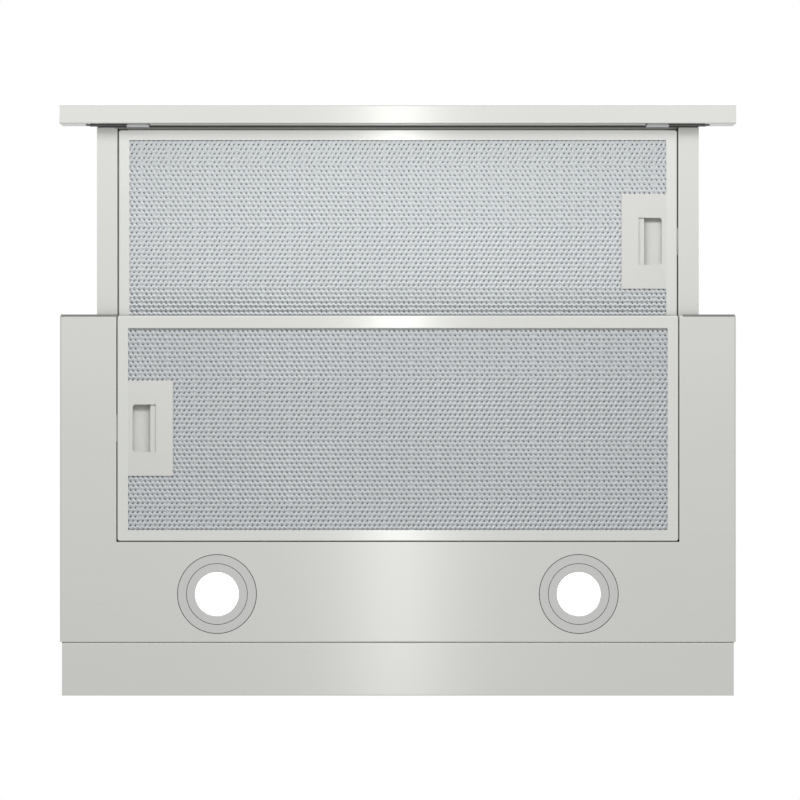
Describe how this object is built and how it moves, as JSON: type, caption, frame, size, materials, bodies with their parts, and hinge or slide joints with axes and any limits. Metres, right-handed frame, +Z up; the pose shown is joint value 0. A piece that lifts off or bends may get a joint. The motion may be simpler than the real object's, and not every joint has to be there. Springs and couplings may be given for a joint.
{
  "type": "telescopic range hood",
  "caption": "Built-in range hood with a slider that pulls out under a wall cabinet, latched metal grease filters, round lamps and a duct outlet on top.",
  "frame": {"origin": "on the axis of the outlet collar, at the top of the casing", "axes": "+X along the hood's width, +Y towards the wall, +Z up; the slider is pulled out at rest"},
  "size_m": [0.598, 0.522, 0.253],
  "materials": {
    "brushed_panel": "satin silver, fine lines along the width",
    "filter_aluminium": "satin",
    "filter_mesh_metal": "bright expanded metal",
    "latch_plastic": "silver grey, satin",
    "zinc_steel": "zinc coated",
    "screw_steel": "bright zinc",
    "spring_steel": "spring steel",
    "lamp_trim": "satin",
    "lamp_glass": "frosted, lit",
    "lamp_housing": "die cast",
    "outlet_plastic": "black, moulded",
    "blower_plastic": "dark grey, moulded",
    "motor_paint": "black enamel",
    "grommet_rubber": "soft rubber",
    "box_plastic": "white, moulded",
    "capacitor_case": "white",
    "button_plastic": "dark grey",
    "board": "green laminate"
  },
  "bodies": {
    "hood_body": {"bracket_screws": "screw_steel", "cabinet_brackets": "zinc_steel", "cable_gland": "box_plastic", "canopy_tray": "brushed_panel", "capacitor": "capacitor_case", "casing_screws": "screw_steel", "collar_screws": "screw_steel", "control_box": "box_plastic", "control_box_lid": "box_plastic", "flap_pin": "zinc_steel", "lamp_bezels": "lamp_trim", "lamp_bodies": "lamp_housing", "lamp_lenses": "lamp_glass", "lamp_rings": "lamp_trim", "motor": "motor_paint", "motor_bracket": "zinc_steel", "motor_grommets": "grommet_rubber", "motor_screws": "screw_steel", "outer_runners": "zinc_steel", "outlet_collar": "outlet_plastic", "rear_spacer": "brushed_panel", "runner_brackets": "zinc_steel", "scroll_left": "blower_plastic", "scroll_right": "blower_plastic", "spacer_screws": "screw_steel", "top_plate": "zinc_steel", "upper_casing": "zinc_steel"},
    "slider": {"slider_frame": "brushed_panel", "slider_top_panel": "zinc_steel", "inner_runners": "zinc_steel", "front_strip": "brushed_panel", "strip_end_caps": "brushed_panel", "strip_hooks": "zinc_steel", "strip_screws": "screw_steel", "button_panel": "button_plastic", "switch_board": "board", "front_filter_frame": "filter_aluminium", "front_filter_mesh": "filter_mesh_metal", "front_filter_core": "filter_mesh_metal", "front_filter_handle": "latch_plastic", "front_filter_spring": "spring_steel"},
    "ball_cages": {"ball_cage_left": "zinc_steel", "ball_cage_right": "zinc_steel"},
    "front_latch": {"front_filter_latch": "latch_plastic"},
    "rear_filter": {"rear_filter_frame": "filter_aluminium", "rear_filter_mesh": "filter_mesh_metal", "rear_filter_core": "filter_mesh_metal", "rear_filter_handle": "latch_plastic", "rear_filter_spring": "spring_steel"},
    "rear_latch": {"rear_filter_latch": "latch_plastic"},
    "flap_front": {"flap_front": "outlet_plastic"},
    "flap_rear": {"flap_rear": "outlet_plastic"},
    "fan": {"impeller": "blower_plastic", "motor_shaft": "zinc_steel"},
    "button_light": {"button_light": "button_plastic"},
    "button_off": {"button_off": "button_plastic"},
    "button_low": {"button_low": "button_plastic"},
    "button_medium": {"button_medium": "button_plastic"},
    "button_high": {"button_high": "button_plastic"}
  },
  "joints": [
    {"name": "slider_push", "type": "slide", "parent": "hood_body", "child": "slider", "axis": [0, 1, 0], "range_m": [0, 0.166]},
    {"name": "ball_cages_roll", "type": "slide", "parent": "hood_body", "child": "ball_cages", "axis": [0, 1, 0], "range_m": [0, 0.083]},
    {"name": "front_latch_pull", "type": "slide", "parent": "slider", "child": "front_latch", "axis": [-1, 0, 0], "range_m": [0, 0.005], "stiffness_N_per_m": 300, "springref_m": -0.003, "deforming": ["front_filter_spring"]},
    {"name": "rear_filter_swing", "type": "hinge", "parent": "hood_body", "child": "rear_filter", "pos_m": [0.247, -0.0446, -0.20251], "axis": [0, -1, 0], "range_deg": [0, 75]},
    {"name": "rear_latch_pull", "type": "slide", "parent": "rear_filter", "child": "rear_latch", "axis": [1, 0, 0], "range_m": [0, 0.005], "stiffness_N_per_m": 300, "springref_m": -0.003, "deforming": ["rear_filter_spring"]},
    {"name": "flap_front_lift", "type": "hinge", "parent": "hood_body", "child": "flap_front", "pos_m": [0, 0, 0.0151], "axis": [-1, 0, 0], "range_deg": [0, 75]},
    {"name": "flap_rear_lift", "type": "hinge", "parent": "hood_body", "child": "flap_rear", "pos_m": [0, 0, 0.0151], "axis": [1, 0, 0], "range_deg": [0, 75]},
    {"name": "fan_spin", "type": "hinge", "parent": "hood_body", "child": "fan", "pos_m": [0, 0.04453, -0.07403], "axis": [1, 0, 0], "continuous": true},
    {"name": "button_light_press", "type": "slide", "parent": "slider", "child": "button_light", "axis": [0, 1, 0], "range_m": [0, 0.0016], "stiffness_N_per_m": 400},
    {"name": "button_off_press", "type": "slide", "parent": "slider", "child": "button_off", "axis": [0, 1, 0], "range_m": [0, 0.0016], "stiffness_N_per_m": 400},
    {"name": "button_low_press", "type": "slide", "parent": "slider", "child": "button_low", "axis": [0, 1, 0], "range_m": [0, 0.0016], "stiffness_N_per_m": 400},
    {"name": "button_medium_press", "type": "slide", "parent": "slider", "child": "button_medium", "axis": [0, 1, 0], "range_m": [0, 0.0016], "stiffness_N_per_m": 400},
    {"name": "button_high_press", "type": "slide", "parent": "slider", "child": "button_high", "axis": [0, 1, 0], "range_m": [0, 0.0016], "stiffness_N_per_m": 400}
  ],
  "couplings": [
    {"joint": "ball_cages_roll", "follows": "slider_push", "ratio": 0.5}
  ]
}
